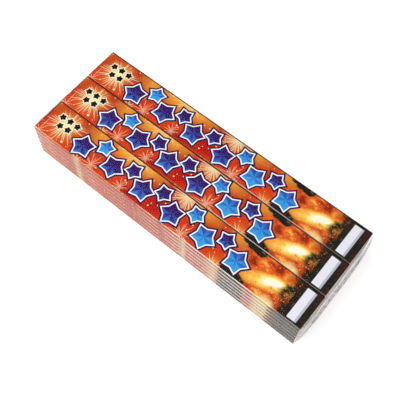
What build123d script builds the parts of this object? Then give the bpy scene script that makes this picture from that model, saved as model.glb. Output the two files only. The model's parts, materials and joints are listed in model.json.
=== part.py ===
from build123d import *

import os
from math import asin, cos, sin, sqrt, tan

# A shrink-wrapped brick of flat sparkler cartons, in millimetres.
# +X runs along the sparklers to the tuck ends, +Z is up, and the origin is the middle of the base.

# Sparklers: straight steel wires, dipped in a grey coat that leaves a bare handle
sparkler_length = 355.6
handle_length = 105.0
wire_diameter = 3.0
coat_diameter = 6.6
coat_rim = 0.5
coat_shoulder = 8.0
coat_tip_cover = 2.0
coat_wire_gap = 0.03
sparklers_per_carton = 6
sparkler_spacing = 0.4

# Cartons: one folded card blank each, glued shut at the far end and tucked shut at the other
card = 0.4
fold_inner_radius = 0.2
floor_gap = 0.2
headroom = 1.2
side_play = 0.2
end_play = 3.0
glue_lap_setback = 6.0
crease_gap = 0.1

# Tuck flap and the two dust flaps behind it
flap_side_gap = 0.3
flap_top_gap = 0.2
tongue_length = 5.0
tongue_side_gap = 0.4
tongue_corner = 3.0
dust_flap_length = 9.0
dust_flap_gap = 0.2
dust_flap_turn = 0.3  # turn of a dust flap for each turn of the tuck flap

# Brick: columns side by side, layers one on another, each column shifted a little endways
columns = ("front", "middle", "back")
column_shift = 0.6
column_gap = 0.3
layers = 6
layer_gap = 0.2

# Shrink film: two welded webs, drawn in at the ends to a long round opening
film = 0.08
film_gap = 0.2
opening_clearance = 1.1

# Sizes that follow
wire_radius = wire_diameter / 2
coat_radius = coat_diameter / 2
bore_radius = wire_radius + coat_wire_gap
sparkler_pitch = coat_diameter + sparkler_spacing

inner_width = sparklers_per_carton * sparkler_pitch + card + side_play
inner_height = floor_gap + coat_diameter + headroom
inner_length = sparkler_length + end_play
carton_width = inner_width + 2 * card
carton_height = inner_height + 2 * card
carton_length = inner_length + 2 * card
fold_radius = fold_inner_radius + card

mouth_x = carton_length / 2
flap_inner_x = mouth_x - card
wall_end_x = flap_inner_x - crease_gap

row_y = -card / 2
row_z = card + floor_gap + coat_radius
handle_x = flap_inner_x - end_play / 2
tip_x = handle_x - sparkler_length
wire_tip_x = tip_x + coat_tip_cover
shoulder_x = handle_x - handle_length

# The tongue is a chord of the circle that the flap's fold sweeps, so it draws out under the top panel.
flap_height = carton_height - card - flap_top_gap
flap_width = carton_width - 2 * flap_side_gap
tongue_width = inner_width - 2 * tongue_side_gap
tongue_slope = asin(tongue_length / (2 * flap_height))
tongue_tip_x = -flap_height * sin(2 * tongue_slope)
tongue_tip_z = flap_height * cos(2 * tongue_slope)
tongue_root_z = flap_height - card * (1 + sin(tongue_slope)) / cos(tongue_slope)

# A dust flap tapers so that it stays behind the opening tuck flap and under the tongue's sweep.
dust_root_y = carton_width / 2 - card - crease_gap
dust_foot_z = card + dust_flap_gap
dust_sweep = flap_height * cos(tongue_slope) - card - dust_flap_gap
dust_head_z = sqrt(dust_sweep**2 - (mouth_x - wall_end_x + card) ** 2)
dust_rise = dust_flap_turn * dust_flap_length + dust_flap_gap
dust_drop = dust_rise / 2

column_pitch = carton_width + column_gap
layer_pitch = carton_height + layer_gap
film_length = carton_length + 2 * (column_shift + film_gap + film)
film_width = len(columns) * column_pitch - column_gap + 2 * (film_gap + film)
film_height = layers * layer_pitch - layer_gap + 2 * (film_gap + film)
weld_z = film_height / 2
drawn_height = (layers - 2) * layer_pitch - layer_gap
opening_height = drawn_height + 2 * opening_clearance
opening_straight = carton_width + 2 * opening_clearance


def across(x, y=0.0, z=0.0):
    """A plane across the cartons at x: its own x runs along +Y and its own y along +Z."""
    return Plane(origin=(x, y, z), x_dir=(0, 1, 0), z_dir=(1, 0, 0))


def lengthways(x, y, z):
    """An upright plane along the cartons: its own x runs along +X and its own y along +Z."""
    return Plane(origin=(x, y, z), x_dir=(1, 0, 0), z_dir=(0, -1, 0))


# Carton: the card tube with its glued far end, modelled with its own base on z = 0
with BuildPart() as carton:
    with BuildSketch(across(-mouth_x, z=carton_height / 2)):
        RectangleRounded(carton_width, carton_height, fold_radius)
        RectangleRounded(inner_width, inner_height, fold_inner_radius, mode=Mode.SUBTRACT)
    extrude(amount=mouth_x + wall_end_x)
    with BuildSketch(across(-mouth_x, z=carton_height / 2)):
        RectangleRounded(carton_width, carton_height, fold_radius)
    extrude(amount=card)
    # The top panel runs on over the fold of the tuck flap.
    with BuildSketch(across(wall_end_x, z=carton_height - card / 2)):
        Rectangle(carton_width - 2 * fold_radius, card)
    extrude(amount=mouth_x - wall_end_x)
    # The glued lap lies inside the back wall.
    with BuildSketch(across(glue_lap_setback - mouth_x, inner_width / 2 - card / 2, carton_height / 2)):
        Rectangle(card, inner_height - 2 * fold_inner_radius)
    extrude(amount=carton_length - 2 * glue_lap_setback)

# Tuck flap: the panel that closes the mouth, with the tongue that tucks under the top panel
with BuildPart() as tuck_flap:
    with BuildSketch(lengthways(mouth_x, 0, 0)):
        with BuildLine():
            Polyline(
                (0, 0),
                (0, flap_height),
                (tongue_tip_x, tongue_tip_z),
                (tongue_tip_x + card * sin(tongue_slope), tongue_tip_z - card * cos(tongue_slope)),
                (-card, tongue_root_z),
                (-card, 0),
                close=True,
            )
        make_face()
    extrude(amount=tongue_width / 2, both=True)
    tongue_tip = tuck_flap.faces().sort_by(Axis.X)[0]
    fillet(tongue_tip.edges().filter_by(Axis.Y, reverse=True), tongue_corner)
    # The panel is wider than its tongue and covers the ends of the side walls.
    with BuildSketch(lengthways(mouth_x, 0, 0)):
        with BuildLine():
            Polyline(
                (0, 0),
                (0, flap_height),
                (-card, flap_height - card * tan(tongue_slope)),
                (-card, 0),
                close=True,
            )
        make_face()
    extrude(amount=flap_width / 2, both=True)


def dust_flap(side):
    """The dust flap that is creased to the back wall, where side is 1, or the front wall, where it is -1."""
    root = side * dust_root_y
    tip = side * (dust_root_y - dust_flap_length)
    with BuildPart() as flap:
        with BuildSketch(across(wall_end_x - card)):
            with BuildLine():
                Polyline(
                    (root, dust_foot_z),
                    (root, dust_head_z),
                    (tip, dust_head_z - dust_drop),
                    (tip, dust_foot_z + dust_rise),
                    close=True,
                )
            make_face()
        extrude(amount=card)
    return flap.part


near_dust_flap = dust_flap(-1)
far_dust_flap = dust_flap(1)

# Wires: one row of straight steel wires, their bare handles towards the tuck flap
with BuildPart() as wires:
    with BuildSketch(across(wire_tip_x, row_y, row_z)):
        with GridLocations(sparkler_pitch, 0, sparklers_per_carton, 1):
            Circle(wire_radius)
    extrude(amount=handle_x - wire_tip_x)

# Coats: the dipped composition round each wire, with a sloped shoulder and a round tip
with BuildPart() as coats:
    for place in range(sparklers_per_carton):
        wire_y = row_y + (place - (sparklers_per_carton - 1) / 2) * sparkler_pitch
        with BuildSketch(lengthways(0, wire_y, row_z)):
            with BuildLine():
                Polyline(
                    (tip_x, 0),
                    (wire_tip_x - coat_wire_gap, 0),
                    (wire_tip_x - coat_wire_gap, bore_radius),
                    (shoulder_x, bore_radius),
                    (shoulder_x, bore_radius + coat_rim),
                    (shoulder_x - coat_shoulder, coat_radius),
                    (tip_x + coat_radius, coat_radius),
                )
                CenterArc((tip_x + coat_radius, 0), coat_radius, 90, 90)
            make_face()
        revolve(axis=Axis((0, wire_y, row_z), (1, 0, 0)))


def film_web(side):
    """The upper web of film, where side is 1, or the lower one, where it is -1, from the weld outwards."""
    with BuildPart() as web:
        with BuildSketch(Plane.XY.offset(weld_z)):
            Rectangle(film_length, film_width)
        extrude(amount=side * weld_z)
        with BuildSketch(Plane.XY.offset(weld_z)):
            Rectangle(film_length - 2 * film, film_width - 2 * film)
        extrude(amount=side * (weld_z - film), mode=Mode.SUBTRACT)
        with BuildSketch(across(-film_length / 2, z=weld_z)):
            SlotCenterToCenter(opening_straight, opening_height)
        extrude(amount=film_length, mode=Mode.SUBTRACT)
    return web.part


def write(piece, label):
    """Writes one named node."""
    piece.label = label
    export_step(piece, f"parts/{label}.step")


def write_group(piece, seats, label):
    """Writes one node that holds a copy of the piece on each seat."""
    with BuildPart() as group:
        for seat in seats:
            add(piece.moved(seat))
    write(group.part, label)


os.makedirs("parts", exist_ok=True)
write(film_web(1), "film_upper")
write(film_web(-1), "film_lower")

# The film holds every carton but those of the middle column that its end openings leave free.
for place, column in enumerate(columns):
    step = place - (len(columns) - 1) / 2
    held_seats = []
    for layer in range(1, layers + 1):
        seat = Location((-step * column_shift, step * column_pitch, film + film_gap + (layer - 1) * layer_pitch))
        write(carton.part.moved(seat), f"carton_{column}_{layer}")
        if column == "middle" and 1 < layer < layers:
            write(tuck_flap.part.moved(seat), f"flap_{column}_{layer}")
            write(near_dust_flap.moved(seat), f"dust_near_{column}_{layer}")
            write(far_dust_flap.moved(seat), f"dust_far_{column}_{layer}")
            write(wires.part.moved(seat), f"wires_{column}_{layer}")
            write(coats.part.moved(seat), f"coats_{column}_{layer}")
        else:
            held_seats.append(seat)
    write_group(tuck_flap.part, held_seats, f"flaps_{column}")
    write_group(near_dust_flap + far_dust_flap, held_seats, f"dust_flaps_{column}")
    write_group(wires.part, held_seats, f"wires_{column}")
    write_group(coats.part, held_seats, f"coats_{column}")
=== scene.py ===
import json
from math import asin, cos, exp, hypot, pi, radians, sin, sqrt, tan
from random import Random

import bpy
import bmesh
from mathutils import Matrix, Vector

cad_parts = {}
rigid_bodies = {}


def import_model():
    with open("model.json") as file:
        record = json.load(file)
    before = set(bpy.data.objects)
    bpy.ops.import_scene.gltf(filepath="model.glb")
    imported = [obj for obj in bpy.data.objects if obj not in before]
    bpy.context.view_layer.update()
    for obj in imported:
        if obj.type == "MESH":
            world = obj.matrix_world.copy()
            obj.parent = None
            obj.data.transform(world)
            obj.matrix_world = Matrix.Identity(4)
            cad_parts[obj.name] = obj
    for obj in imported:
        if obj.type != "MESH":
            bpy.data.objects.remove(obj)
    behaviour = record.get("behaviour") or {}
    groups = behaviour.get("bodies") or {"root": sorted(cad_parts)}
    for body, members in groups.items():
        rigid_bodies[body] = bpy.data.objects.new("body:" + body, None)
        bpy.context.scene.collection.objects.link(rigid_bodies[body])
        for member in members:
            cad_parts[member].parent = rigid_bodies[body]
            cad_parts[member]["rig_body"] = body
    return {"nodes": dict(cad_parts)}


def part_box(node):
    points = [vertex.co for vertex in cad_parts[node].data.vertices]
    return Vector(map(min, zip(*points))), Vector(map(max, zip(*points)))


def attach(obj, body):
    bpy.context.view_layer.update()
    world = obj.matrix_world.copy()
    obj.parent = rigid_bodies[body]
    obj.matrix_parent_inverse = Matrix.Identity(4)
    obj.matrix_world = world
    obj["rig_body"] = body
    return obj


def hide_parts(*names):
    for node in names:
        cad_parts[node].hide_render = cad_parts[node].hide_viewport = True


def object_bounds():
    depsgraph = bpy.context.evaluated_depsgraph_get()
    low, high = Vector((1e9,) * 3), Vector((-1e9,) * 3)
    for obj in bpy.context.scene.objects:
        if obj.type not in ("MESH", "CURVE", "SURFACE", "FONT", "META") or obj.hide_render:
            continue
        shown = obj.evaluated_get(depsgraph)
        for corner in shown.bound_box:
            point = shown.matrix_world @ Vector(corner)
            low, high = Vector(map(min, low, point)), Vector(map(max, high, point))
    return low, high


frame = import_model()
cad_low, cad_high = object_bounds()

# Sparkler wires
# Straight lengths of drawn steel wire, six to a carton, lying side by side on the carton's floor.
# Their bare handles point to the tuck flap, and drawing leaves fine bright lines along them.


def linear(red, green, blue):
    """A colour as it is printed or seen, 0 to 255, as the renderer's own values."""
    shares = [level / 255 for level in (red, green, blue)]
    curved = [s / 12.92 if s < 0.04045 else ((s + 0.055) / 1.055) ** 2.4 for s in shares]
    return (*curved, 1.0)


def feed(tree, node, inputs):
    """Sets a node's inputs to plain values, or links them to other sockets."""
    for name, value in inputs.items():
        if isinstance(value, bpy.types.NodeSocket):
            tree.links.new(value, node.inputs[name])
        else:
            node.inputs[name].default_value = value


def add(tree, kind, inputs=None, **settings):
    """A new node with its settings and its inputs."""
    made = tree.nodes.new(kind)
    for name, value in settings.items():
        setattr(made, name, value)
    feed(tree, made, inputs or {})
    return made


def maths(tree, operation, *terms):
    return add(tree, "ShaderNodeMath", dict(enumerate(terms)), operation=operation).outputs[0]


def times(tree, value, gain):
    return maths(tree, "MULTIPLY", value, gain)


def scaled(tree, value, gain, base):
    """The value times a gain, on top of a base."""
    return maths(tree, "MULTIPLY_ADD", value, gain, base)


def vectors(tree, operation, *terms):
    """Vector maths: a vector, or a plain number for a length or a distance."""
    made = add(tree, "ShaderNodeVectorMath", dict(enumerate(terms)), operation=operation).outputs
    return made["Value"] if operation in ("LENGTH", "DISTANCE") else made[0]


def fade(tree, value, start, end):
    """Rises smoothly from 0 at start to 1 at end, or falls where end is the smaller."""
    limits = {"Value": value, "From Min": start, "From Max": end}
    return add(tree, "ShaderNodeMapRange", limits, interpolation_type="SMOOTHSTEP").outputs[0]


def over(tree, share, below, above):
    """One colour laid over another by a share."""
    return add(tree, "ShaderNodeMix", {0: share, 6: below, 7: above}, data_type="RGBA").outputs[2]


def cloud(tree, place, scale, detail=3.0, stretch=(1.0, 1.0, 1.0)):
    """Soft noise from about 0.25 to 0.75, drawn out where stretch is below 1."""
    drawn = vectors(tree, "MULTIPLY", place, stretch)
    return add(tree, "ShaderNodeTexNoise", {"Vector": drawn, "Scale": scale, "Detail": detail}).outputs[0]


def start_material(name):
    """An empty material with its Principled shader and the object's own coordinates."""
    material = bpy.data.materials.new(name)
    material.use_nodes = True
    tree = material.node_tree
    shader = tree.nodes["Principled BSDF"]
    place = add(tree, "ShaderNodeTexCoord").outputs["Object"]
    return material, tree, shader, place


def raise_surface(tree, shader, height, depth, strength):
    """Bump on the shader's normal, depth in metres."""
    bump = add(tree, "ShaderNodeBump", {"Height": height, "Distance": depth, "Strength": strength})
    feed(tree, shader, {"Normal": bump.outputs[0]})


wire_bright = linear(206, 204, 198)
wire_dull = linear(132, 128, 120)
wire_rust = linear(122, 88, 62)
rust_share = 0.4
line_depth = 0.00004

drawn_steel, tree, shader, place = start_material("drawn_steel")
draw_lines = cloud(tree, place, 3000.0, 2.0, (0.008, 1.0, 1.0))
stain = fade(tree, cloud(tree, place, 90.0, 4.0), 0.60, 0.72)
bare = over(tree, fade(tree, draw_lines, 0.35, 0.65), wire_dull, wire_bright)
rusted = over(tree, times(tree, stain, rust_share), bare, wire_rust)
feed(tree, shader, {"Base Color": rusted, "Roughness": scaled(tree, stain, 0.25, 0.3), "Metallic": 1.0})
raise_surface(tree, shader, draw_lines, line_depth, 0.4)


def dress(prefix, material):
    """Gives the solids whose names start so their material."""
    for name, solid in frame["nodes"].items():
        if name.startswith(prefix):
            solid.data.materials.clear()
            solid.data.materials.append(material)


dress("wires_", drawn_steel)

# Spark coats
# Each wire was dipped in a grey slurry of iron and aluminium grains in a binder, then dried hanging.
# The skin is rough and dull, with grains that glint where the binder is thin.
slurry_dark = linear(74, 73, 72)
slurry_pale = linear(126, 124, 120)
grain_glint = linear(205, 203, 196)
grain_scale = 2600.0
lump_depth = 0.0005

dipped_coat, tree, shader, place = start_material("dipped_coat")
lumps = cloud(tree, place, 420.0, 5.0)
grains = add(tree, "ShaderNodeTexVoronoi", {"Vector": place, "Scale": grain_scale})
glint = fade(tree, grains.outputs["Distance"], 0.22, 0.12)
skin = over(tree, fade(tree, lumps, 0.3, 0.7), slurry_dark, slurry_pale)
skin = over(tree, glint, skin, grain_glint)
feed(tree, shader, {"Base Color": skin, "Roughness": scaled(tree, glint, -0.4, 0.9)})
raise_surface(tree, shader, scaled(tree, glint, 0.3, lumps), lump_depth, 0.8)
dress("coats_", dipped_coat)

# Folding cartons
# Each is one blank of white-lined card, printed and varnished outside, folded round its six sparklers,
# glued along a lap inside the back wall, and glued shut by a lapped flap at the far end.
card = 0.0004
fold_radius = 0.0010
fold_steps = 4
fold_hold = 0.0002
crease_angle = radians(38)
side_squeeze = 0.00025
crease_gap = 0.0001
end_lap = 0.00036
end_lap_drop = 0.0014
glue_line = 0.00002
glue_lap_setback = 0.006
panel_bow = 0.00012
bow_wave = 0.085
bow_ease = 0.012
carton_rows = 44
print_unit = 0.1
print_slip = 0.0008
PRINTED, RAW = 0, 1
slab_turns = ((0, 1, 3, 2), (4, 6, 7, 5), (0, 4, 5, 1), (2, 3, 7, 6), (0, 2, 6, 4), (1, 5, 7, 3))


def show(name, data):
    """A new object in the scene, at the origin."""
    made = bpy.data.objects.new(name, data)
    bpy.context.scene.collection.objects.link(made)
    return made


class CardSheet:
    """Collects a card piece's corners and faces, each face with its place on the print and its side."""

    def __init__(self):
        self.points = []
        self.faces = []
        self.prints = []
        self.sides = []

    def corner(self, x, y, z):
        self.points.append((x, y, z))
        return len(self.points) - 1

    def face(self, corners, prints, side):
        self.faces.append(corners)
        self.prints.append(prints)
        self.sides.append(side)

    def raw_face(self, corners):
        """A face of bare card, with no place on the print."""
        self.face(corners, [(0.0, 0.0)] * len(corners), RAW)

    def slab(self, low, high, prints, sides):
        """A flat strip of card between two corners, its sides given in x, y and z, lower before upper."""
        x, y, z = zip(low, high)
        at = [self.corner(x[i], y[j], z[k]) for i in (0, 1) for j in (0, 1) for k in (0, 1)]
        for turn, side in zip(slab_turns, sides):
            corners = [at[n] for n in turn]
            self.face(corners, [prints(*self.points[n]) for n in corners], side)

    def build(self, name, materials):
        """The finished mesh object, its faces turned outwards."""
        mesh = bpy.data.meshes.new(name)
        mesh.from_pydata(self.points, [], self.faces)
        flat = mesh.uv_layers.new(name="print")
        flat.data.foreach_set("uv", [n for prints in self.prints for pair in prints for n in pair])
        mesh.polygons.foreach_set("material_index", self.sides)
        raw = mesh.attributes.new("raw", "BOOLEAN", "FACE")
        raw.data.foreach_set("value", [side == RAW for side in self.sides])
        for material in materials:
            mesh.materials.append(material)
        shell = bmesh.new()
        shell.from_mesh(mesh)
        bmesh.ops.recalc_face_normals(shell, faces=shell.faces)
        shell.to_mesh(mesh)
        shell.free()
        mesh.shade_smooth()
        mesh.set_sharp_from_angle(angle=crease_angle)
        return show(name, mesh)


def stand_in(piece, node):
    """The piece shows in place of a solid and moves with its body."""
    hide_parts(node)
    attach(piece, frame["nodes"][node]["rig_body"])


def stops(span, pieces):
    """Places along a panel from 0 to 1, with a close one beside each fold to keep the panel flat."""
    hold = fold_hold / span
    return [0.0, hold] + [n / pieces for n in range(1, pieces)] + [1 - hold]


def girth(width, height, radius):
    """Corners round a folded tube from the middle of its bottom, each with its panel and place across."""
    ring = []
    flat = width / 2 - radius
    tall = height / 2 - radius
    corners = ((1, -1), (1, 1), (-1, 1), (-1, -1))
    runs = (("side", 4), ("top", 14), ("side", 4), ("bottom", 14))
    for number, ((side, up), (panel, pieces)) in enumerate(zip(corners, runs)):
        for step in range(fold_steps):
            turn = radians(-90 + 90 * number + 90 * step / fold_steps)
            ring.append((side * flat + radius * cos(turn), up * tall + radius * sin(turn), "fold", 0.0))
        next_side, next_up = corners[(number + 1) % 4]
        out = radians(90 * number)
        for share in stops(2 * tall if panel == "side" else 2 * flat, pieces):
            y = (side + (next_side - side) * share) * flat + radius * cos(out)
            z = (up + (next_up - up) * share) * tall + radius * sin(out)
            ring.append((y, z, panel, share))
    return ring


def bowed(y, z, panel, share, x, phase):
    """A panel's small inward bow, which comes and goes along the carton."""
    depth = panel_bow * 4 * share * (1 - share) * (0.55 + 0.45 * sin(2 * pi * x / bow_wave + phase))
    if panel == "side":
        return y - depth * (1 if y > 0 else -1), z
    if panel in ("top", "bottom"):
        return y, z - depth * (1 if z > 0 else -1)
    return y, z


def fold_carton(name, low, high, phase, slip):
    """The folded tube with its inner wall, glued lap and lapped far end, its print slipped a little."""
    blank = CardSheet()
    middle_y = (low.y + high.y) / 2
    middle_z = (low.z + high.z) / 2
    width = high.y - low.y - 2 * side_squeeze
    height = high.z - low.z
    outer = girth(width, height, fold_radius)
    inner = girth(width - 2 * card, height - 2 * card, fold_radius - card)
    wall_x = high.x - card - crease_gap
    lengths = [0.0]
    for here, after in zip(outer, outer[1:] + outer[:1]):
        lengths.append(lengths[-1] + hypot(after[0] - here[0], after[1] - here[1]))
    top_middle = (lengths[-1] - width) / 2 + fold_radius
    skins = []
    for ring, start_x in ((outer, low.x + card), (inner, low.x + 2 * card)):
        grid = []
        for row in range(carton_rows + 1):
            line = []
            for y, z, panel, share in ring:
                end_x = high.x if panel == "top" else wall_x
                x = start_x + (end_x - start_x) * row / carton_rows
                ease = min(1.0, (x - start_x) / bow_ease, (end_x - x) / bow_ease)
                by, bz = bowed(y, z, panel, share, x, phase)
                line.append(blank.corner(x, middle_y + y + (by - y) * ease, middle_z + z + (bz - z) * ease))
            grid.append(line)
        skins.append(grid)

    def printed(corner, along_girth, panel):
        x, y, z = blank.points[corner]
        across = y - middle_y if panel in ("top", "bottom") else top_middle - along_girth
        return ((x - low.x + slip[0]) / print_unit, (across + slip[1]) / print_unit)

    outside, inside = skins
    for n, (y, z, panel, share) in enumerate(outer):
        after = (n + 1) % len(outer)
        panel = "side" if panel == "fold" else panel
        girths = (lengths[n], lengths[n], lengths[n + 1], lengths[n + 1])
        for row in range(carton_rows):
            quad = (outside[row][n], outside[row + 1][n], outside[row + 1][after], outside[row][after])
            marks = [printed(corner, reach, panel) for corner, reach in zip(quad, girths)]
            blank.face(quad, marks, PRINTED)
            blank.raw_face((inside[row][n], inside[row][after], inside[row + 1][after], inside[row + 1][n]))
        blank.raw_face((outside[-1][n], inside[-1][n], inside[-1][after], outside[-1][after]))

    def end_print(x, y, z):
        return (-(high.z - z) / print_unit, (y - middle_y) / print_unit)

    blank.face(outside[0], [end_print(*blank.points[n]) for n in outside[0]], PRINTED)
    blank.raw_face(inside[0])
    margin = fold_radius / 2
    lap_low = (low.x, low.y + margin, low.z + margin)
    lap_high = (low.x + end_lap, high.y - margin, high.z - end_lap_drop)
    blank.slab(lap_low, lap_high, end_print, (PRINTED, RAW, RAW, RAW, RAW, RAW))
    lap_y = middle_y + width / 2 - card
    glue_low = (low.x + glue_lap_setback, lap_y - card, low.z + fold_radius)
    glue_high = (high.x - glue_lap_setback, lap_y - glue_line, high.z - fold_radius)
    blank.slab(glue_low, glue_high, end_print, (RAW,) * 6)
    return blank.build(name, (printed_card, raw_card))


def start_group(name, takes, gives):
    """A shader node group with named sockets, its input sockets and its output node."""
    made = bpy.data.node_groups.new(name, "ShaderNodeTree")
    for label, kind in takes.items():
        made.interface.new_socket(label, in_out="INPUT", socket_type=f"NodeSocket{kind}")
    for label in gives:
        made.interface.new_socket(label, in_out="OUTPUT", socket_type="NodeSocketFloat")
    return made, made.nodes.new("NodeGroupInput").outputs, made.nodes.new("NodeGroupOutput")


def stamp(tree, group, **inputs):
    """A shader group set in a material with its own values, and what it puts out."""
    return add(tree, "ShaderNodeGroup", inputs, node_tree=group).outputs


def less(tree, value, other):
    return maths(tree, "SUBTRACT", value, other)


def size_of(tree, value):
    """The value without its sign."""
    return maths(tree, "ABSOLUTE", value)


def reach_of(tree, along, aside):
    """The straight distance to a point from how far it lies along and aside."""
    return maths(tree, "SQRT", scaled(tree, along, along, times(tree, aside, aside)))


def band(tree, value, rise, full, ebb, end):
    """Rises from 0 at rise to 1 at full, and falls from ebb to 0 at end."""
    return times(tree, fade(tree, value, rise, full), fade(tree, value, end, ebb))


def chance(tree, number, salt):
    """A fixed random value from 0 to 1 for each whole number."""
    salted = maths(tree, "ADD", number, salt)
    return add(tree, "ShaderNodeTexWhiteNoise", {"W": salted}, noise_dimensions="1D").outputs["Value"]


# Fibres show in bare card, and faintly through the varnish
fibre_takes = {"Vector": "Vector", "Scale": "Float"}
card_fibre, takes, gives = start_group("card_fibre", fibre_takes, ("Tone", "Height"))
fibres = cloud(card_fibre, takes["Vector"], takes["Scale"], 6.0, (0.25, 1.0, 1.0))
blotch_scale = times(card_fibre, takes["Scale"], 0.06)
coarse = {"Vector": takes["Vector"], "Scale": blotch_scale}
blotches = add(card_fibre, "ShaderNodeTexNoise", coarse).outputs[0]
fibre_tone = scaled(card_fibre, blotches, 0.5, times(card_fibre, fibres, 0.5))
feed(card_fibre, gives, {"Tone": fibre_tone, "Height": fibres})

# Firework burst: a soft glow and thin rays of uneven length from one centre
burst_takes = {"Vector": "Vector", "Centre": "Vector", "Reach": "Float", "Rays": "Float", "Line": "Float"}
spark_burst, takes, gives = start_group("spark_burst", burst_takes, ("Glow", "Rays"))
tree = spark_burst
offset = vectors(tree, "SUBTRACT", takes["Vector"], takes["Centre"])
distance = vectors(tree, "LENGTH", offset)
parts = add(tree, "ShaderNodeSeparateXYZ", {0: offset}).outputs
turns = scaled(tree, maths(tree, "ARCTAN2", parts[1], parts[0]), 0.5 / pi, 0.5)
ray_place = times(tree, turns, takes["Rays"])
ray = maths(tree, "FLOOR", ray_place)
ray_middle = scaled(tree, chance(tree, ray, 5.3), 0.6, 0.2)
off_ray = size_of(tree, less(tree, maths(tree, "FRACT", ray_place), ray_middle))
sector = maths(tree, "DIVIDE", 2 * pi, takes["Rays"])
aside = times(tree, times(tree, off_ray, sector), distance)
ray_end = times(tree, scaled(tree, chance(tree, ray, 1.7), 0.65, 0.35), takes["Reach"])
on_line = fade(tree, aside, takes["Line"], times(tree, takes["Line"], 0.35))
along = fade(tree, maths(tree, "DIVIDE", distance, ray_end), 1.0, 0.55)
nearness = fade(tree, maths(tree, "DIVIDE", distance, takes["Reach"]), 1.0, 0.0)
feed(tree, gives, {"Rays": times(tree, on_line, along), "Glow": maths(tree, "POWER", nearness, 1.6)})

# Flying sparks: round dots of uneven size, some cells left empty
dot_takes = {"Vector": "Vector", "Scale": "Float", "Size": "Float", "Share": "Float"}
spark_dots, takes, gives = start_group("spark_dots", dot_takes, ("Mask",))
tree = spark_dots
cells = {"Vector": takes["Vector"], "Scale": takes["Scale"]}
cell = add(tree, "ShaderNodeTexVoronoi", cells, voronoi_dimensions="2D")
luck = add(tree, "ShaderNodeSeparateColor", {0: cell.outputs["Color"]}).outputs
dot_size = times(tree, takes["Size"], scaled(tree, luck[1], 0.75, 0.25))
dot = fade(tree, cell.outputs["Distance"], dot_size, times(tree, dot_size, 0.45))
lit = maths(tree, "LESS_THAN", luck[0], takes["Share"])
feed(tree, gives, {"Mask": times(tree, dot, lit)})

# Row of chunky five-pointed stars, each tilted and lifted a little
star_points = 5
star_waist = 0.65
waist_x = star_waist * cos(pi / star_points)
waist_y = star_waist * sin(pi / star_points)
flank = hypot(1 - waist_x, waist_y)
star_lift = 0.35
row_takes = {"Vector": "Vector"}
for label in ("First", "Middle", "Spacing", "Last", "Radius", "Salt", "Tilt"):
    row_takes[label] = "Float"
star_row, takes, gives = start_group("star_row", row_takes, ("Distance", "Tone", "Facet", "Height"))
tree = star_row
radius = takes["Radius"]
parts = add(tree, "ShaderNodeSeparateXYZ", {0: takes["Vector"]}).outputs
steps = maths(tree, "DIVIDE", less(tree, parts[0], takes["First"]), takes["Spacing"])
star = maths(tree, "MAXIMUM", maths(tree, "ROUND", steps), 0.0)
star = maths(tree, "MINIMUM", star, takes["Last"])
salted = maths(tree, "ADD", star, takes["Salt"])
tilt = times(tree, less(tree, chance(tree, salted, 2.1), 0.5), takes["Tilt"])
lift = times(tree, less(tree, chance(tree, salted, 7.9), 0.5), radius)
east = times(tree, less(tree, steps, star), takes["Spacing"])
north = less(tree, parts[1], scaled(tree, lift, star_lift, takes["Middle"]))
from_tip = less(tree, maths(tree, "ARCTAN2", east, north), tilt)
folded = maths(tree, "PINGPONG", from_tip, pi / star_points)
spread = maths(tree, "DIVIDE", reach_of(tree, east, north), radius)
tip_x = less(tree, times(tree, spread, maths(tree, "COSINE", folded)), 1.0)
tip_y = times(tree, spread, maths(tree, "SINE", folded))
past_flank = scaled(tree, tip_x, waist_y / flank, times(tree, tip_y, (1 - waist_x) / flank))
half_arm = maths(tree, "FRACT", times(tree, from_tip, star_points / (2 * pi)))
star_shape = {"Distance": times(tree, past_flank, radius), "Tone": chance(tree, salted, 4.4)}
star_shape["Facet"] = maths(tree, "LESS_THAN", half_arm, 0.5)
star_shape["Height"] = maths(tree, "DIVIDE", north, radius)
feed(tree, gives, star_shape)

# The raw side is greyish white with fibres, and shows at cut edges and inside
raw_grey = linear(206, 201, 190)
raw_white = linear(236, 233, 226)
raw_card, tree, shader, place = start_material("raw_card")
fibre = stamp(tree, card_fibre, Vector=place, Scale=2600.0)
raw_tone = over(tree, fade(tree, fibre["Tone"], 0.35, 0.65), raw_grey, raw_white)
feed(tree, shader, {"Base Color": raw_tone, "Roughness": 0.85})
raise_surface(tree, shader, fibre["Height"], 0.00006, 0.6)

# The print, in units of 100 mm: along the carton from its far end, then across from the top's middle
printed_card, tree, shader, place = start_material("printed_card")
flat = add(tree, "ShaderNodeUVMap", uv_map="print").outputs[0]
length_at, across_at = add(tree, "ShaderNodeSeparateXYZ", {0: flat}).outputs[:2]
aside = size_of(tree, across_at)

# Ground: embers from deep red to orange, with a yellow glow along the back edge and thin spark trails
ember_red = linear(182, 22, 8)
ember_orange = linear(212, 60, 13)
soot_red = linear(122, 20, 12)
wall_orange = linear(226, 80, 18)
glow_yellow = linear(244, 178, 62)
spark_pale = linear(255, 243, 196)
drift = cloud(tree, flat, 2.4, 5.0, (0.6, 1.0, 1.0))
ground = over(tree, fade(tree, drift, 0.38, 0.62), ember_red, ember_orange)
soot = fade(tree, cloud(tree, flat, 9.0, 5.0, (0.5, 1.0, 1.0)), 0.52, 0.72)
ground = over(tree, times(tree, soot, 0.45), ground, soot_red)
glow_patches = fade(tree, cloud(tree, flat, 1.35, 3.0, (1.0, 0.2, 1.0)), 0.40, 0.58)
glow_edge = times(tree, fade(tree, across_at, 0.0, 0.22), glow_patches)
ground = over(tree, times(tree, glow_edge, 0.85), ground, glow_yellow)
ground = over(tree, times(tree, fade(tree, aside, 0.195, 0.225), 0.6), ground, wall_orange)

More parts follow.
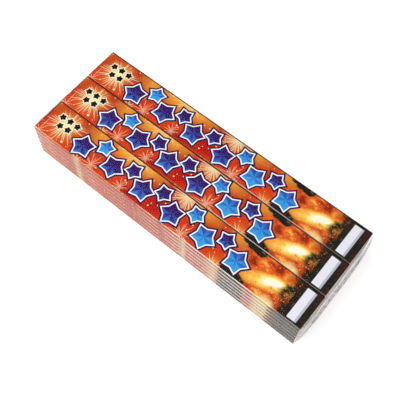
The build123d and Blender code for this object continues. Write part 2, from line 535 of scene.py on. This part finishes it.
# Bursts, each with its centre, reach, number of rays, strength of its glow and strength of its rays
ray_line = 0.0055
for centre, reach, rays, glow, lines in (
    ((0.27, 0.02, 0.0), 0.31, 52.0, 0.66, 0.8),
    ((1.86, 0.20, 0.0), 0.30, 40.0, 0.40, 0.7),
    ((2.05, -0.18, 0.0), 0.20, 18.0, 0.0, 0.4),
    ((2.52, -0.27, 0.0), 0.22, 20.0, 0.7, 0.6),
    ((1.21, -0.17, 0.0), 0.13, 15.0, 0.0, 0.4),
    ((1.16, 0.26, 0.0), 0.34, 34.0, 0.5, 0.5),
    ((0.06, -0.21, 0.0), 0.30, 11.0, 0.0, 0.4),
    ((0.80, -0.17, 0.0), 0.20, 15.0, 0.0, 0.4),
    ((0.70, 0.12, 0.0), 0.26, 9.0, 0.42, 0.0),
    ((0.62, -0.25, 0.0), 0.12, 16.0, 0.22, 0.8),
    ((2.12, -0.26, 0.0), 0.10, 14.0, 0.2, 0.9),
):
    burst = stamp(tree, spark_burst, Vector=flat, Centre=centre, Reach=reach, Rays=rays, Line=ray_line)
    ground = over(tree, times(tree, burst["Glow"], glow), ground, glow_yellow)
    ground = over(tree, times(tree, burst["Rays"], lines), ground, spark_pale)
for scale, size, share in ((6.0, 0.11, 0.5), (14.0, 0.16, 0.4)):
    dots = stamp(tree, spark_dots, Vector=flat, Scale=scale, Size=size, Share=share)[0]
    ground = over(tree, times(tree, dots, 0.9), ground, spark_pale)

# Evening end: fire with a white-hot fountain, dark smoke at both edges, and sparks that fade into the night
night = linear(22, 25, 16)
night_brown = linear(50, 28, 22)
fire_red = linear(150, 36, 12)
fire_orange = linear(226, 92, 24)
fire_yellow = linear(252, 190, 84)
flame_gold = linear(250, 176, 62)
flame_yellow = linear(255, 226, 110)
flame_white = linear(255, 251, 226)
lamp_cream = linear(252, 226, 150)
flame_along_at = 3.08
flame_across_at = -0.02
flame_lean = -0.30
flame_length = 0.22
flame_width = 0.07
lamp_at = (3.13, -0.27, 0.0)
fire = cloud(tree, flat, 10.0, 7.0, (0.7, 1.0, 1.0))
ragged = less(tree, fire, 0.5)
blaze = over(tree, fade(tree, fire, 0.34, 0.50), fire_red, fire_orange)
blaze = over(tree, fade(tree, fire, 0.50, 0.66), blaze, fire_yellow)
ground = over(tree, fade(tree, scaled(tree, ragged, 0.5, length_at), 2.48, 2.72), ground, blaze)
smoke_window = band(tree, length_at, 2.46, 2.68, 2.80, 3.02)
smoke = scaled(tree, ragged, 1.5, times(tree, fade(tree, aside, 0.05, 0.21), smoke_window))
ground = over(tree, fade(tree, smoke, 0.52, 0.66), ground, night)
flame_along = less(tree, length_at, flame_along_at)
flame_across = scaled(tree, flame_along, flame_lean, less(tree, across_at, flame_across_at))
flame_x = times(tree, flame_along, 1 / flame_length)
flame_y = times(tree, flame_across, 1 / flame_width)
flame = scaled(tree, ragged, 1.6, reach_of(tree, flame_x, flame_y))
ground = over(tree, fade(tree, flame, 1.6, 0.9), ground, flame_gold)
ground = over(tree, fade(tree, flame, 1.15, 0.7), ground, flame_yellow)
white_hot = fade(tree, flame, 0.8, 0.4)
ground = over(tree, white_hot, ground, flame_white)
from_lamp = scaled(tree, ragged, 0.2, vectors(tree, "DISTANCE", flat, lamp_at))
ground = over(tree, fade(tree, from_lamp, 0.14, 0.06), ground, lamp_cream)
dark = over(tree, fade(tree, cloud(tree, flat, 5.0, 3.0), 0.42, 0.60), night, night_brown)
ground = over(tree, fade(tree, scaled(tree, ragged, 0.55, length_at), 3.20, 3.32), ground, dark)
spark_window = band(tree, length_at, 2.70, 2.95, 3.20, 3.46)
spark_window = times(tree, spark_window, less(tree, 1.0, white_hot))
for scale, size, share, tone in ((22.0, 0.26, 0.5, (246, 128, 44)), (34.0, 0.28, 0.25, (255, 206, 120))):
    dots = stamp(tree, spark_dots, Vector=flat, Scale=scale, Size=size, Share=share)[0]
    ground = over(tree, times(tree, dots, spark_window), ground, linear(*tone))

# Blank panel, white with a grey band
panel_white = linear(236, 235, 243)
panel_grey = linear(190, 190, 206)
panel_low = 3.40
panel_high = 3.515
panel_edge = 0.004
panel_across = fade(tree, size_of(tree, maths(tree, "ADD", across_at, 0.005)), 0.187, 0.183)
panel_along = band(tree, length_at, panel_low, panel_low + panel_edge, panel_high - panel_edge, panel_high)
panel_tone = over(tree, fade(tree, length_at, 3.485, 3.49), panel_white, panel_grey)
ground = over(tree, times(tree, panel_along, panel_across), ground, panel_tone)

# Stars in blues, large and small in zigzag, outlined in white on a dark halo
outline_white = linear(252, 252, 255)
star_light = linear(56, 160, 226)
star_middle_blue = linear(48, 92, 186)
star_deep = linear(52, 22, 98)
halo_dark = linear(44, 10, 62)
star_pitch = 0.42
star_tilt = 1.1


def star_line(first, spacing, last, middle, radius, salt):
    """A row of stars along the carton, from its first star to its last."""
    sizes = {"First": first, "Spacing": spacing, "Last": last, "Middle": middle, "Radius": radius}
    return stamp(tree, star_row, Vector=flat, Salt=salt, Tilt=star_tilt, **sizes)


large_stars = star_line(0.58, star_pitch, 5.0, -0.055, 0.130, 3.0)
small_stars = star_line(0.79, star_pitch, 4.0, 0.075, 0.092, 11.0)
nearest = maths(tree, "MINIMUM", large_stars["Distance"], small_stars["Distance"])
ground = over(tree, fade(tree, nearest, 0.036, 0.027), ground, halo_dark)
for stars in (large_stars, small_stars):
    ground = over(tree, fade(tree, stars["Distance"], 0.0145, 0.0115), ground, outline_white)
    depth = scaled(tree, stars["Tone"], 0.75, times(tree, stars["Height"], 0.42))
    shaded = scaled(tree, stars["Facet"], 0.24, maths(tree, "ADD", depth, 0.16))
    body = over(tree, fade(tree, shaded, 0.10, 0.50), star_light, star_middle_blue)
    body = over(tree, fade(tree, shaded, 0.45, 0.85), body, star_deep)
    ground = over(tree, fade(tree, stars["Distance"], 0.0012, -0.0012), ground, body)

# A cluster of small dark stars on the first burst
dark_star = linear(14, 11, 11)
dark_star_rim = linear(255, 248, 206)
for first, last, middle, salt in ((0.16, 2.0, 0.075, 21.0), (0.21, 1.0, -0.025, 31.0)):
    stars = star_line(first, 0.105, last, middle, 0.046, salt)
    ground = over(tree, fade(tree, stars["Distance"], 0.011, 0.007), ground, dark_star_rim)
    ground = over(tree, fade(tree, stars["Distance"], 0.001, -0.001), ground, dark_star)

# End panels: warm smoke between embers, with sparks and a blank label
end_print_start = 4.0
smoke_dark = linear(126, 110, 100)
smoke_pale = linear(166, 150, 138)
end_ember_pale = linear(236, 150, 100)
end_ember_red = linear(204, 74, 34)
end_spark = linear(240, 128, 56)
label_border = linear(178, 70, 36)
label_face = linear(226, 224, 220)
label_middle = 4.043
label_half_height = 0.013
label_half_width = 0.115
end_tone = over(tree, fade(tree, cloud(tree, flat, 7.0, 2.0), 0.35, 0.65), smoke_dark, smoke_pale)
end_ragged = scaled(tree, ragged, 0.22, aside)
end_tone = over(tree, fade(tree, end_ragged, 0.13, 0.19), end_tone, end_ember_pale)
end_tone = over(tree, fade(tree, end_ragged, 0.17, 0.215), end_tone, end_ember_red)
end_sparks = stamp(tree, spark_dots, Vector=flat, Scale=26.0, Size=0.24, Share=0.35)[0]
end_tone = over(tree, times(tree, end_sparks, 0.7), end_tone, end_spark)
label_up = less(tree, size_of(tree, less(tree, length_at, label_middle)), label_half_height)
label_up = maths(tree, "MAXIMUM", label_up, 0.0)
label_aside = maths(tree, "MAXIMUM", less(tree, aside, label_half_width), 0.0)
label_reach = reach_of(tree, label_up, label_aside)
end_tone = over(tree, fade(tree, label_reach, 0.0135, 0.0120), end_tone, label_border)
end_tone = over(tree, fade(tree, label_reach, 0.0105, 0.0090), end_tone, label_face)
ground = over(tree, fade(tree, length_at, 3.78, 3.80), ground, end_tone)

# Folds: painted shade as dark lines beside the top folds and along the bottom folds, a darker line round the
# far end, and pale lines on the top folds, partly wear down to the white card and partly painted highlight
painted_shade_brown = linear(38, 20, 16)
worn_highlight_warm = linear(252, 206, 148)
worn_highlight_white = linear(255, 242, 228)
carton_low, carton_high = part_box("carton_middle_2")
fold_cut = fold_radius * (1 - pi / 4)
top_fold = ((carton_high.y - carton_low.y) / 2 - side_squeeze - fold_cut) / print_unit
bottom_fold = top_fold + (carton_high.z - carton_low.z - 2 * fold_cut) / print_unit
from_top = less(tree, aside, top_fold)
# Painted shade: a dark band along each carton's bottom fold, where it turns under into shade
bottom_fold_shade = band(tree, less(tree, bottom_fold, aside), -0.008, -0.003, 0.004, 0.011)
ground = over(tree, times(tree, bottom_fold_shade, 0.8), ground, painted_shade_brown)
front_fold = fade(tree, across_at, 0.05, -0.05)
back_fold = less(tree, 1.0, front_fold)
# Painted shade: a dark band on each front wall a little below its top fold and over each back top fold, so
# the gaps between columns and between layers read dark; the far line only darkens the print round the far end
wall_line = band(tree, from_top, 0.014, 0.020, 0.035, 0.044)
edge_line = band(tree, from_top, -0.014, -0.009, 0.004, 0.010)
far_line = band(tree, length_at, -0.014, -0.009, 0.006, 0.014)
for line, fold, strength, line_tint in (
    (wall_line, front_fold, 0.9, (0.16, 0.10, 0.10, 1.0)),
    (edge_line, back_fold, 1.0, (0.06, 0.04, 0.04, 1.0)),
    (far_line, 1.0, 0.8, (0.16, 0.10, 0.10, 1.0)),
):
    darkened_line_inputs = {0: times(tree, times(tree, line, fold), strength), 6: ground, 7: line_tint}
    ground = add(tree, "ShaderNodeMix", darkened_line_inputs, data_type="RGBA", blend_type="MULTIPLY").outputs[2]
# Pale lines on the top folds, partly wear down to the white card and partly painted highlight: full on the
# folds that face the soft box and on the outer walls, weaker in the seams and towards the far end, and faint
# over the dark print at the tuck end
wear_and_highlight_breaks = fade(tree, cloud(tree, flat, 30.0, 3.0, (0.35, 1.0, 1.0)), 0.25, 0.50)
wear_and_highlight = times(tree, band(tree, from_top, -0.005, -0.001, 0.012, 0.018), wear_and_highlight_breaks)
wear_and_highlight_along = fade(tree, length_at, 1.2, 2.3)
wear_and_highlight_depth = scaled(tree, wear_and_highlight_along, 0.45, 0.42)
wear_and_highlight_depth = scaled(tree, fade(tree, length_at, 3.1, 3.3), -0.60, wear_and_highlight_depth)
wear_and_highlight_depth = times(tree, wear_and_highlight_depth, scaled(tree, front_fold, 0.88, 0.12))
outer_y = (cad_high.y - cad_low.y) / 2
place_y = add(tree, "ShaderNodeSeparateXYZ", {0: place}).outputs[1]
wear_and_highlight_reach = fade(tree, size_of(tree, place_y), outer_y - 0.006, outer_y - 0.004)
wear_and_highlight_reach = maths(tree, "MAXIMUM", wear_and_highlight_reach, scaled(tree, wear_and_highlight_along, 0.85, 0.15))
wear_and_highlight_depth = times(tree, wear_and_highlight_depth, wear_and_highlight_reach)
wear_and_highlight_tone = over(tree, wear_and_highlight_along, worn_highlight_warm, worn_highlight_white)
ground = over(tree, times(tree, wear_and_highlight, wear_and_highlight_depth), ground, wear_and_highlight_tone)
fibre = stamp(tree, card_fibre, Vector=place, Scale=2200.0)
varnish = scaled(tree, wear_and_highlight, 0.4, scaled(tree, fibre["Tone"], 0.14, 0.24))
feed(tree, shader, {"Base Color": ground, "Roughness": varnish, "Specular IOR Level": 0.04})
raise_surface(tree, shader, fibre["Height"], 0.00003, 0.12)

chances = Random(7)
for node in sorted(frame["nodes"]):
    if node.startswith("carton_"):
        phase = chances.uniform(0, 2 * pi)
        slip = (chances.uniform(-print_slip, print_slip), chances.uniform(-print_slip, print_slip) / 2)
        folded_card = fold_carton(node.replace("carton", "card"), *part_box(node), phase, slip)
        stand_in(folded_card, node)

# Dust flaps
# Two short tapered wings of the same blank, creased to the side walls behind the tuck flap.
# They are bare card, and spring out a little when the tuck flap opens.
dress("dust_", raw_card)

# Tuck flaps
# The panel that closes the mouth: hinged on the crease of the bottom panel, folded over at its top edge
# into a tongue with round corners, which tucks in under the top panel.
tongue_side_gap = 0.0005
tongue_corner = 0.003
flap_crown = 0.00012
flap_pieces = {"arc": 5, "run": 8}
flap_columns = 16


def fold_tuck_flap(name, low, high):
    """One flap with its tongue, as a bent sheet of card."""
    flap = CardSheet()
    height = high.z - low.z
    turn = asin((high.x - low.x) / height)
    tongue_turn = pi / 2 + turn / 2
    tongue_length = 2 * height * sin(turn / 2)
    bend = card + crease_gap
    setback = bend * tan(tongue_turn / 2)
    rise = height - bend - setback
    plan = (("arc", pi / 2), ("run", rise), ("arc", tongue_turn), ("run", tongue_length - setback))
    path = []
    here = Vector((-bend, 0.0))
    heading = 0.0
    travelled = 0.0
    for kind, amount in plan:
        piece = amount / flap_pieces[kind]
        for step in range(flap_pieces[kind]):
            path.append((here.x, here.y, heading, travelled))
            if kind == "arc":
                centre = here + bend * Vector((-sin(heading), cos(heading)))
                heading += piece
                here = centre - bend * Vector((-sin(heading), cos(heading)))
                travelled += bend * piece
            else:
                here = here + piece * Vector((cos(heading), sin(heading)))
                travelled += piece
    path.append((here.x, here.y, heading, travelled))
    panel_end = bend * pi / 2 + rise
    half = (high.y - low.y) / 2
    middle = (high.y + low.y) / 2
    across = [-1 + 2 * share for share in stops(2 * half, flap_columns)] + [1.0]
    skins = []
    for inward in (0.0, card):
        grid = []
        for x, z, heading, reach in path:
            reach_left = max(0.0, tongue_corner - (travelled - reach))
            narrow = tongue_side_gap if reach > panel_end else 0.0
            narrow += tongue_corner - sqrt(tongue_corner**2 - reach_left**2)
            crown = flap_crown * sin(pi * min(1.0, reach / panel_end))
            skin_x = high.x + x - inward * sin(heading)
            skin_z = low.z + z + inward * cos(heading)
            line = []
            for share in across:
                swell = crown * (1 - share**2)
                line.append(flap.corner(skin_x + swell, middle + share * (half - narrow), skin_z))
            grid.append(line)
        skins.append(grid)
    outside, inside = skins
    last = len(across) - 1

    def printed(row, column):
        return (end_print_start + path[row][3] / print_unit, across[column] * half / print_unit)

    for row in range(len(path) - 1):
        for n in range(last):
            turns = ((row, n), (row + 1, n), (row + 1, n + 1), (row, n + 1))
            flap.face([outside[r][c] for r, c in turns], [printed(r, c) for r, c in turns], PRINTED)
            flap.raw_face([inside[r][c] for r, c in reversed(turns)])
        for n in (0, last):
            flap.raw_face((outside[row][n], outside[row + 1][n], inside[row + 1][n], inside[row][n]))
    for row in (0, len(path) - 1):
        for n in range(last):
            flap.raw_face((outside[row][n], outside[row][n + 1], inside[row][n + 1], inside[row][n]))
    return flap.build(name, (printed_card, raw_card))


def start_tree(name, takes):
    """A geometry tree with named inputs, the inputs' identifiers and the sockets that they feed."""
    made = bpy.data.node_groups.new(name, "GeometryNodeTree")
    made.interface.new_socket("Geometry", in_out="INPUT", socket_type="NodeSocketGeometry")
    keys = {}
    for label, kind in takes.items():
        socket = made.interface.new_socket(label, in_out="INPUT", socket_type=f"NodeSocket{kind}")
        keys[label] = socket.identifier
    made.interface.new_socket("Geometry", in_out="OUTPUT", socket_type="NodeSocketGeometry")
    return made, keys, made.nodes.new("NodeGroupInput").outputs


def end_tree(tree, geometry):
    feed(tree, tree.nodes.new("NodeGroupOutput"), {0: geometry})


def grow(piece, tree, keys, values):
    """Gives a piece the geometry tree, with its inputs set."""
    modifier = piece.modifiers.new(tree.name, "NODES")
    modifier.node_group = tree
    for label, value in values.items():
        modifier[keys[label]] = value


def attribute(tree, name, kind):
    return add(tree, "GeometryNodeInputNamedAttribute", {"Name": name}, data_type=kind).outputs[0]


def settle(piece):
    """Turns the piece's modifiers into its plain mesh."""
    settled = bpy.data.meshes.new_from_object(piece.evaluated_get(bpy.context.evaluated_depsgraph_get()))
    piece.modifiers.clear()
    piece.data = settled


# The held flaps of a column are copies of its lowest one, a fixed step apart up the stack
copies_takes = {"Count": "Int", "Step": "Float", "Print": "Material", "Back": "Material"}
copies, copies_keys, given = start_tree("stacked_copies", copies_takes)
climb = add(copies, "ShaderNodeCombineXYZ", {2: given["Step"]}).outputs[0]
seats = add(copies, "GeometryNodeMeshLine", {"Count": given["Count"], "Offset": climb}).outputs[0]
placed = add(copies, "GeometryNodeInstanceOnPoints", {"Points": seats, "Instance": given["Geometry"]})
joined = add(copies, "GeometryNodeRealizeInstances", {0: placed.outputs[0]}).outputs[0]
front = {"Geometry": joined, "Material": given["Print"]}
skinned = add(copies, "GeometryNodeSetMaterial", front).outputs[0]
back = {"Geometry": skinned, "Selection": attribute(copies, "raw", "BOOLEAN"), "Material": given["Back"]}
end_tree(copies, add(copies, "GeometryNodeSetMaterial", back).outputs[0])

one_low, one_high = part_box("flap_middle_2")
layer_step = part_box("carton_middle_2")[0].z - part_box("carton_middle_1")[0].z
for node in sorted(frame["nodes"]):
    if node.startswith("flap_"):
        stand_in(fold_tuck_flap(node.replace("flap", "tuck"), *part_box(node)), node)
    elif node.startswith("flaps_"):
        column = node.removeprefix("flaps_")
        layers = sum(name.startswith(f"carton_{column}_") for name in frame["nodes"])
        loose = sum(name.startswith(f"flap_{column}_") for name in frame["nodes"])
        flap_low, flap_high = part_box(node)
        flap_high.z = flap_low.z + one_high.z - one_low.z
        stack = fold_tuck_flap(node.replace("flaps", "tucks"), flap_low, flap_high)
        sizes = {"Count": layers - loose, "Step": layer_step * (loose + 1)}
        grow(stack, copies, copies_keys, {**sizes, "Print": printed_card, "Back": raw_card})
        settle(stack)
        stand_in(stack, node)

# Shrink film
# An upper and a lower web of clear polyolefin, welded along the long sides and shrunk in a hot tunnel.
# The film pulls tight over the cartons, and gathers in pleats over both ends down to a long round opening.
film = 0.00006
film_bend = 0.0008
opening_width = 0.0836
opening_height = 0.0380
pleat_height = 0.0005
pleat_width = 0.0045
pleat_length = 0.030
pleat_seed = 3.0
end_dome = 0.0035
far_dome_share = 0.3
end_slack = 0.68
wall_slack = 0.06
wall_slack_rise = 0.5
wall_slack_reach = 0.02
lip_roll = 0.0005
lip_curl = 0.05
web_columns = 200
wall_rows = 32
dome_rows = 16
dome_rise_rows = 10
lip_rows = 6
edge_rows = 6
bend_rows = 4
mouth_rows = 16

# Pleats: the sheet moves outwards by noise drawn out along the pull of the film, where it is slack
pleat_takes = {"Height": "Float", "Width": "Float", "Length": "Float", "Seed": "Float"}
pleat_takes["Material"] = "Material"
pleats, pleat_keys, given = start_tree("shrink_pleats", pleat_takes)
sheet_place = attribute(pleats, "sheet", "FLOAT_VECTOR")
slack = attribute(pleats, "slack", "FLOAT")
grain = add(pleats, "ShaderNodeCombineXYZ", {0: given["Width"], 1: given["Length"], 2: 1.0}).outputs[0]
seeded = add(pleats, "ShaderNodeCombineXYZ", {2: given["Seed"]}).outputs[0]
shifted = vectors(pleats, "ADD", vectors(pleats, "DIVIDE", sheet_place, grain), seeded)
ripple = add(pleats, "ShaderNodeTexNoise", {"Vector": shifted, "Scale": 1.0, "Detail": 2.0}).outputs[0]
ridge = add(pleats, "ShaderNodeMapRange", {"Value": ripple, "From Min": 0.35, "From Max": 0.75}).outputs[0]
lift = times(pleats, times(pleats, ridge, slack), given["Height"])
outwards = pleats.nodes.new("GeometryNodeInputNormal").outputs[0]
push = add(pleats, "ShaderNodeVectorMath", {0: outwards, "Scale": lift}, operation="SCALE").outputs[0]
moved = add(pleats, "GeometryNodeSetPosition", {"Geometry": given["Geometry"], "Offset": push}).outputs[0]
joined = add(pleats, "GeometryNodeRealizeInstances", {0: moved}).outputs[0]
skinned = add(pleats, "GeometryNodeSetMaterial", {"Geometry": joined, "Material": given["Material"]})
end_tree(pleats, skinned.outputs[0])

# Clear film mirrors more at a glancing angle, and turns milky where it is gathered and along its weld
film_grey = linear(246, 248, 250)
film_white = linear(255, 255, 255)
milk_dark = linear(112, 110, 107)
milk_pale = linear(196, 194, 190)
clear_film, tree, shader, place = start_material("clear_film")
creases = cloud(tree, place, 260.0, 4.0, (0.25, 1.0, 1.0))
looseness = add(tree, "ShaderNodeAttribute", attribute_name="slack").outputs["Fac"]
sheet_place = add(tree, "ShaderNodeAttribute", attribute_name="sheet").outputs["Vector"]
folds = cloud(tree, sheet_place, 1.0, 3.0, (1 / pleat_width, 1 / pleat_length, 1.0))
ridges = scaled(tree, fade(tree, folds, 0.44, 0.60), 0.5, 0.5)
gathers = times(tree, fade(tree, looseness, 0.54, 0.90), ridges)
clear_tone = over(tree, creases, film_grey, film_white)
milky_tone = over(tree, fade(tree, folds, 0.40, 0.65), milk_dark, milk_pale)
film_tone = over(tree, gathers, clear_tone, milky_tone)
film_rough = scaled(tree, gathers, 0.3, scaled(tree, creases, 0.16, 0.04))
glancing = add(tree, "ShaderNodeLayerWeight", {"Blend": 0.5}).outputs["Facing"]
mirror = scaled(tree, maths(tree, "POWER", glancing, 5.0), 0.26, 0.004)
milkiness = scaled(tree, maths(tree, "POWER", glancing, 2.0), 0.72, 0.26)
haze = scaled(tree, gathers, milkiness, mirror)
from_weld = less(tree, add(tree, "ShaderNodeSeparateXYZ", {0: place}).outputs[2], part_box("film_upper")[0].z)
weld = fade(tree, size_of(tree, from_weld), 0.0009, 0.0005)
film_finish = {"Base Color": film_tone, "Roughness": film_rough, "Alpha": scaled(tree, weld, 0.06, haze)}
film_finish["Metallic"] = scaled(tree, gathers, -0.9, 1.0)
feed(tree, shader, film_finish)
raise_surface(tree, shader, creases, 0.00012, 0.35)


def spread_evenly(corners, count):
    """Points at even steps along a line of corners."""
    reaches = [0.0]
    for here, after in zip(corners, corners[1:]):
        reaches.append(reaches[-1] + (after - here).length)
    points = []
    span = 0
    for step in range(count + 1):
        reach = reaches[-1] * step / count
        while span < len(corners) - 2 and reaches[span + 1] < reach:
            span += 1
        share = (reach - reaches[span]) / (reaches[span + 1] - reaches[span])
        points.append(corners[span].lerp(corners[span + 1], share))
    return points


def quarter(centre, radius, pieces):
    """Corners of a quarter round, from its side to its top."""
    turns = [pi / 2 * n / pieces for n in range(pieces + 1)]
    return [centre + radius * Vector((cos(turn), sin(turn))) for turn in turns]


def mirrored(corners):
    """A line of corners with its mirror image after it."""
    return corners + [Vector((-corner.x, corner.y)) for corner in reversed(corners)]


def draw_web(name, low, high, side):
    """One web from weld to weld over the brick, drawn in over both ends, side 1 above and -1 below."""
    half_length = (high.x - low.x) / 2
    half_width = (high.y - low.y) / 2
    weld_z = low.z if side > 0 else high.z
    rise = high.z - low.z
    edge_centre = Vector((half_width - film_bend, rise - film_bend))
    outline = mirrored([Vector((half_width, 0.0))] + quarter(edge_centre, film_bend, edge_rows))
    radius = opening_height / 2
    mouth = mirrored(quarter(Vector((opening_width / 2 - radius, 0.0)), radius, mouth_rows))
    outer = spread_evenly(outline, web_columns)
    inner = spread_evenly(mouth, web_columns)
    around = sum((after - here).length for here, after in zip(outline, outline[1:]))

    # Each station has its place along the web, its way round the end's bend and its share of the way in
    flat_half = half_length - film_bend
    walls = [(flat_half * (2 * n / wall_rows - 1), 0.0, 0.0) for n in range(wall_rows + 1)]
    near_end = []
    for n in range(1, bend_rows + 1):
        turn = pi / 2 * n / bend_rows
        near_end.append((half_length - film_bend * (1 - sin(turn)), film_bend * (1 - cos(turn)), 0.0))
    for n in range(1, dome_rows + 1):
        swell = end_dome * sin(pi / 2 * min(1.0, n / dome_rise_rows))
        near_end.append((half_length + swell, film_bend, n / dome_rows))
    for n in range(1, lip_rows + 1):
        turn = pi * n / lip_rows
        lip_x = half_length + end_dome + lip_roll * sin(turn)
        near_end.append((lip_x, film_bend, 1 - lip_curl * (1 - cos(turn)) / 2))
    far_end = []
    for x, inset, share in reversed(near_end):
        proud = max(0.0, x - half_length)
        far_end.append((proud * (1 - far_dome_share) - x, inset, share))
    stations = far_end + walls + near_end
    points = []
    places = []
    slacks = []
    for x, inset, share in stations:
        end_distance = max(0.0, half_length - abs(x))
        on_wall = wall_slack + wall_slack_rise * exp(-end_distance / wall_slack_reach)
        for n, (rim, lip) in enumerate(zip(outer, inner)):
            pull = lip - rim
            reach = inset + (pull.length - inset) * share
            flat_place = rim + pull * (reach / pull.length)
            points.append((x, flat_place.x, weld_z + side * flat_place.y))
            places.append((around * n / web_columns, x + (reach if x > 0 else -reach), 0.0))
            slacks.append(on_wall if inset == 0 else end_slack + (1 - end_slack) * share)
    faces = []
    across = web_columns + 1
    for row in range(len(stations) - 1):
        for n in range(web_columns):
            here = row * across + n
            after = here + across
            faces.append((here, after, after + 1, here + 1))
    if side < 0:
        faces = [tuple(reversed(face)) for face in faces]
    mesh = bpy.data.meshes.new(name)
    mesh.from_pydata(points, [], faces)
    sheet = mesh.attributes.new("sheet", "FLOAT_VECTOR", "POINT")
    sheet.data.foreach_set("vector", [n for place in places for n in place])
    mesh.attributes.new("slack", "FLOAT", "POINT").data.foreach_set("value", slacks)
    mesh.shade_smooth()
    web = show(name, mesh)
    sizes = {"Height": pleat_height, "Width": pleat_width, "Length": pleat_length}
    grow(web, pleats, pleat_keys, {**sizes, "Seed": pleat_seed + side, "Material": clear_film})
    wall = web.modifiers.new("film", "SOLIDIFY")
    wall.thickness = film
    wall.offset = -1.0
    settle(web)
    return web


for node, side in (("film_upper", 1), ("film_lower", -1)):
    stand_in(draw_web(node.replace("film", "web"), *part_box(node), side), node)

# Studio
# A white sweep under the brick with a large soft box overhead, and the camera where the photograph was
# taken. The sweep stays white to the camera and keeps the brick's soft shadow.
floor_half = 3.0
floor_drop = 0.0002
sweep_grey = linear(216, 216, 216)
sweep_pale = linear(220, 220, 220)
white = (1.0, 1.0, 1.0, 1.0)


def seen_rays(tree):
    """1 where the surface is looked at, straight or in a mirror or glass, and 0 where it lights others."""
    rays = add(tree, "ShaderNodeLightPath").outputs
    looked = maths(tree, "MAXIMUM", rays["Is Camera Ray"], rays["Is Glossy Ray"])
    return maths(tree, "MAXIMUM", looked, rays["Is Transmission Ray"])


floor_mesh = bpy.data.meshes.new("floor")
floor_corners = ((-1, -1), (1, -1), (1, 1), (-1, 1))
floor_points = [(x * floor_half, y * floor_half, -floor_drop) for x, y in floor_corners]
floor_mesh.from_pydata(floor_points, [], [(0, 1, 2, 3)])
floor = show("floor", floor_mesh)
sweep, tree, shader, place = start_material("sweep")
paper_tone = over(tree, cloud(tree, place, 3.0, 2.0), sweep_grey, sweep_pale)
whitening = scaled(tree, fade(tree, vectors(tree, "LENGTH", place), 0.3, 1.2), 0.4, 0.62)
seen_glow = times(tree, seen_rays(tree), whitening)
feed(tree, shader, {"Base Color": paper_tone, "Roughness": 1.0, "Specular IOR Level": 0.0})
feed(tree, shader, {"Emission Color": white, "Emission Strength": seen_glow})
floor_mesh.materials.append(sweep)

world = bpy.data.worlds.new("studio")
world.use_nodes = True
bpy.context.scene.world = world
tree = world.node_tree
sky_place = add(tree, "ShaderNodeTexCoord").outputs["Generated"]
sky_height = add(tree, "ShaderNodeSeparateXYZ", {0: sky_place}).outputs[2]
sky_tone = over(tree, fade(tree, sky_height, 0.25, 0.75), (0.8, 0.8, 0.8, 1.0), (0.16, 0.16, 0.16, 1.0))
sky_tone = over(tree, seen_rays(tree), sky_tone, white)
feed(tree, tree.nodes["Background"], {"Color": sky_tone, "Strength": 1.0})


def look_from(item, place, aim):
    """Stands a lamp or a camera in its place, turned to what it points at."""
    item.location = place
    item.rotation_euler = (aim - place).to_track_quat("-Z", "Y").to_euler()


soft_box = bpy.data.lights.new("soft_box", "AREA")
soft_box.shape = "RECTANGLE"
soft_box.size = 1.6
soft_box.size_y = 1.1
soft_box.energy = 23.0
look_from(show("soft_box", soft_box), Vector((-0.35, -0.5, 1.5)), Vector((0.0, 0.0, 0.0)))

camera_data = bpy.data.cameras.new("camera")
camera_data.sensor_width = 36.0
camera_data.lens = 63.793
camera = show("camera", camera_data)
look_from(camera, Vector((0.216966, -0.273384, 0.720299)), Vector((0.010381, -0.008644, 0.0272)))
camera.rotation_euler.rotate_axis("Z", radians(1.42))
bpy.context.scene.camera = camera
bpy.context.scene.view_settings.view_transform = "Standard"
